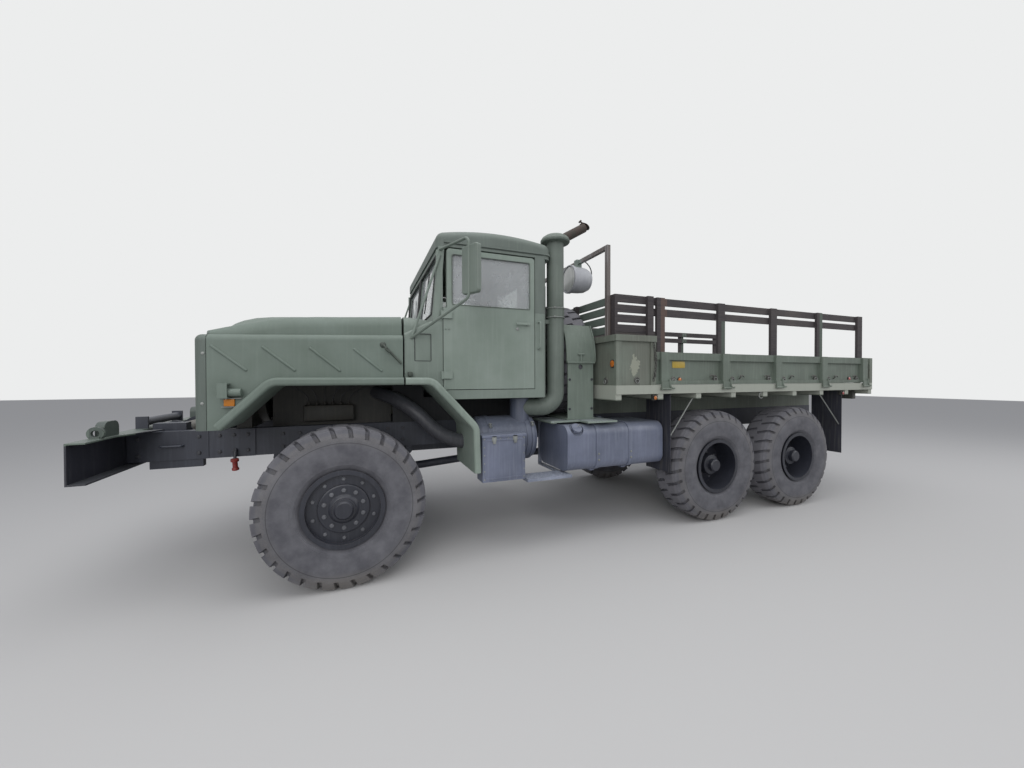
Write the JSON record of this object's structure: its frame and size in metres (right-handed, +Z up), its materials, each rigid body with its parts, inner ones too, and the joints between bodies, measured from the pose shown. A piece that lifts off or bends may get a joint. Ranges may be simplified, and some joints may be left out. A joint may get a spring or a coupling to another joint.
{
  "type": "military cargo truck",
  "caption": "Unarmed six-wheel-drive military cargo truck with a hard-top cab, front winch, drop-side bed and wooden racks.",
  "frame": {"origin": "on the ground, midway between the bumper face and the tailgate hinges, on the truck centre plane", "axes": "+X forward, +Y to the driver side (left), +Z up"},
  "size_m": [8.31, 3.0816, 3.353],
  "materials": {
    "body_green": "matt weathered olive paint",
    "chassis_black": "satin blue-black chassis paint, dusty",
    "tank_grey": "satin blue-grey paint",
    "rack_wood": "dark stained weathered boards",
    "clear_glass": "clear flat glass",
    "lamp_glass": "clear pressed lamp glass",
    "cast_block": "painted casting, oily",
    "seat_canvas": "coated canvas",
    "wheel_plastic": "moulded black rim",
    "exhaust_steel": "heat-stained steel",
    "portal_paint": "brown-grey paint",
    "tyre_rubber": "dusty black rubber",
    "flap_rubber": "reinforced black rubber sheet"
  },
  "bodies": {
    "chassis": {"frame": "chassis_black", "front_bumper": "body_green", "winch": "chassis_black", "engine": "cast_block", "radiator": "chassis_black", "driveline": "cast_block", "axles": "chassis_black", "leaf_springs": "chassis_black", "rear_fenders": "body_green", "cab_tub": "body_green", "cab_roof": "body_green", "windscreen_frame": "body_green", "cab_glass": "clear_glass", "seats": "seat_canvas", "seat_frames": "chassis_black", "dashboard": "body_green", "mirrors": "body_green", "battery_box": "tank_grey", "air_tank": "body_green", "side_steps": "body_green", "fuel_tank": "tank_grey", "intake_stack": "body_green", "exhaust_stack": "exhaust_steel", "spare_carrier": "body_green", "spare_tyre": "tyre_rubber", "spare_rim": "body_green", "lamp_portal": "portal_paint", "cargo_bed": "body_green", "front_rack": "rack_wood", "mud_flaps": "flap_rubber"},
    "hood": {"hood": "body_green", "grille": "body_green", "head_lamps": "lamp_glass"},
    "door_left": {"door_left": "body_green", "door_glass_left": "clear_glass"},
    "door_right": {"door_right": "body_green", "door_glass_right": "clear_glass"},
    "drop_side_left": {"drop_side_left": "body_green", "side_rack_left": "rack_wood"},
    "drop_side_right": {"drop_side_right": "body_green", "side_rack_right": "rack_wood"},
    "tailgate": {"tailgate": "body_green"},
    "knuckle_left": {"knuckle_left": "chassis_black"},
    "knuckle_right": {"knuckle_right": "chassis_black"},
    "tie_rod": {"tie_rod": "chassis_black"},
    "steering_wheel": {"steering_wheel": "wheel_plastic"},
    "wheel_front_left": {"tyre_front_left": "tyre_rubber", "rim_front_left": "body_green"},
    "wheel_front_right": {"tyre_front_right": "tyre_rubber", "rim_front_right": "body_green"},
    "wheel_mid_left": {"tyre_mid_left": "tyre_rubber", "rim_mid_left": "body_green"},
    "wheel_mid_right": {"tyre_mid_right": "tyre_rubber", "rim_mid_right": "body_green"},
    "wheel_rear_left": {"tyre_rear_left": "tyre_rubber", "rim_rear_left": "body_green"},
    "wheel_rear_right": {"tyre_rear_right": "tyre_rubber", "rim_rear_right": "body_green"}
  },
  "joints": [
    {"name": "hood_tilt", "type": "hinge", "parent": "chassis", "child": "hood", "pos_m": [3.56, 0, 1.225], "axis": [0, 1, 0], "range_deg": [0, 75]},
    {"name": "door_left_swing", "type": "hinge", "parent": "chassis", "child": "door_left", "pos_m": [1.788, 1.046, 2.1], "axis": [0, 0, -1], "range_deg": [0, 60]},
    {"name": "door_right_swing", "type": "hinge", "parent": "chassis", "child": "door_right", "pos_m": [1.788, -1.046, 2.1], "axis": [0, 0, 1], "range_deg": [0, 60]},
    {"name": "drop_side_left_fold", "type": "hinge", "parent": "chassis", "child": "drop_side_left", "pos_m": [-2.2, 1.24, 1.5], "axis": [-1, 0, 0], "range_deg": [0, 178]},
    {"name": "drop_side_right_fold", "type": "hinge", "parent": "chassis", "child": "drop_side_right", "pos_m": [-2.2, -1.24, 1.5], "axis": [1, 0, 0], "range_deg": [0, 178]},
    {"name": "tailgate_fold", "type": "hinge", "parent": "chassis", "child": "tailgate", "pos_m": [-4.144, 0, 1.5], "axis": [0, -1, 0], "range_deg": [0, 178]},
    {"name": "steer_left", "type": "hinge", "parent": "chassis", "child": "knuckle_left", "pos_m": [2.565, 0.84, 0.62], "axis": [0, 0, 1], "range_deg": [-28, 28]},
    {"name": "steer_right", "type": "hinge", "parent": "chassis", "child": "knuckle_right", "pos_m": [2.565, -0.84, 0.62], "axis": [0, 0, 1], "range_deg": [-28, 28]},
    {"name": "tie_rod_pivot", "type": "hinge", "parent": "knuckle_left", "child": "tie_rod", "pos_m": [2.415, 0.84, 0.451], "axis": [0, 0, 1], "range_deg": [-28, 28]},
    {"name": "steering_wheel_turn", "type": "hinge", "parent": "chassis", "child": "steering_wheel", "pos_m": [1.49, 0.48, 2.15], "axis": [-0.5709, 0, 0.821], "range_deg": [-560, 560]},
    {"name": "wheel_front_left_spin", "type": "hinge", "parent": "knuckle_left", "child": "wheel_front_left", "pos_m": [2.565, 1.0025, 0.62], "axis": [0, 1, 0], "continuous": true},
    {"name": "wheel_front_right_spin", "type": "hinge", "parent": "knuckle_right", "child": "wheel_front_right", "pos_m": [2.565, -1.0025, 0.62], "axis": [0, 1, 0], "continuous": true},
    {"name": "wheel_mid_left_spin", "type": "hinge", "parent": "chassis", "child": "wheel_mid_left", "pos_m": [-1.296, 1.0025, 0.62], "axis": [0, 1, 0], "continuous": true},
    {"name": "wheel_mid_right_spin", "type": "hinge", "parent": "chassis", "child": "wheel_mid_right", "pos_m": [-1.296, -1.0025, 0.62], "axis": [0, 1, 0], "continuous": true},
    {"name": "wheel_rear_left_spin", "type": "hinge", "parent": "chassis", "child": "wheel_rear_left", "pos_m": [-2.668, 1.0025, 0.62], "axis": [0, 1, 0], "continuous": true},
    {"name": "wheel_rear_right_spin", "type": "hinge", "parent": "chassis", "child": "wheel_rear_right", "pos_m": [-2.668, -1.0025, 0.62], "axis": [0, 1, 0], "continuous": true}
  ],
  "couplings": [
    {"joint": "steer_right", "follows": "steer_left", "ratio": 1},
    {"joint": "tie_rod_pivot", "follows": "steer_left", "ratio": -1},
    {"joint": "steering_wheel_turn", "follows": "steer_left", "ratio": 20}
  ]
}
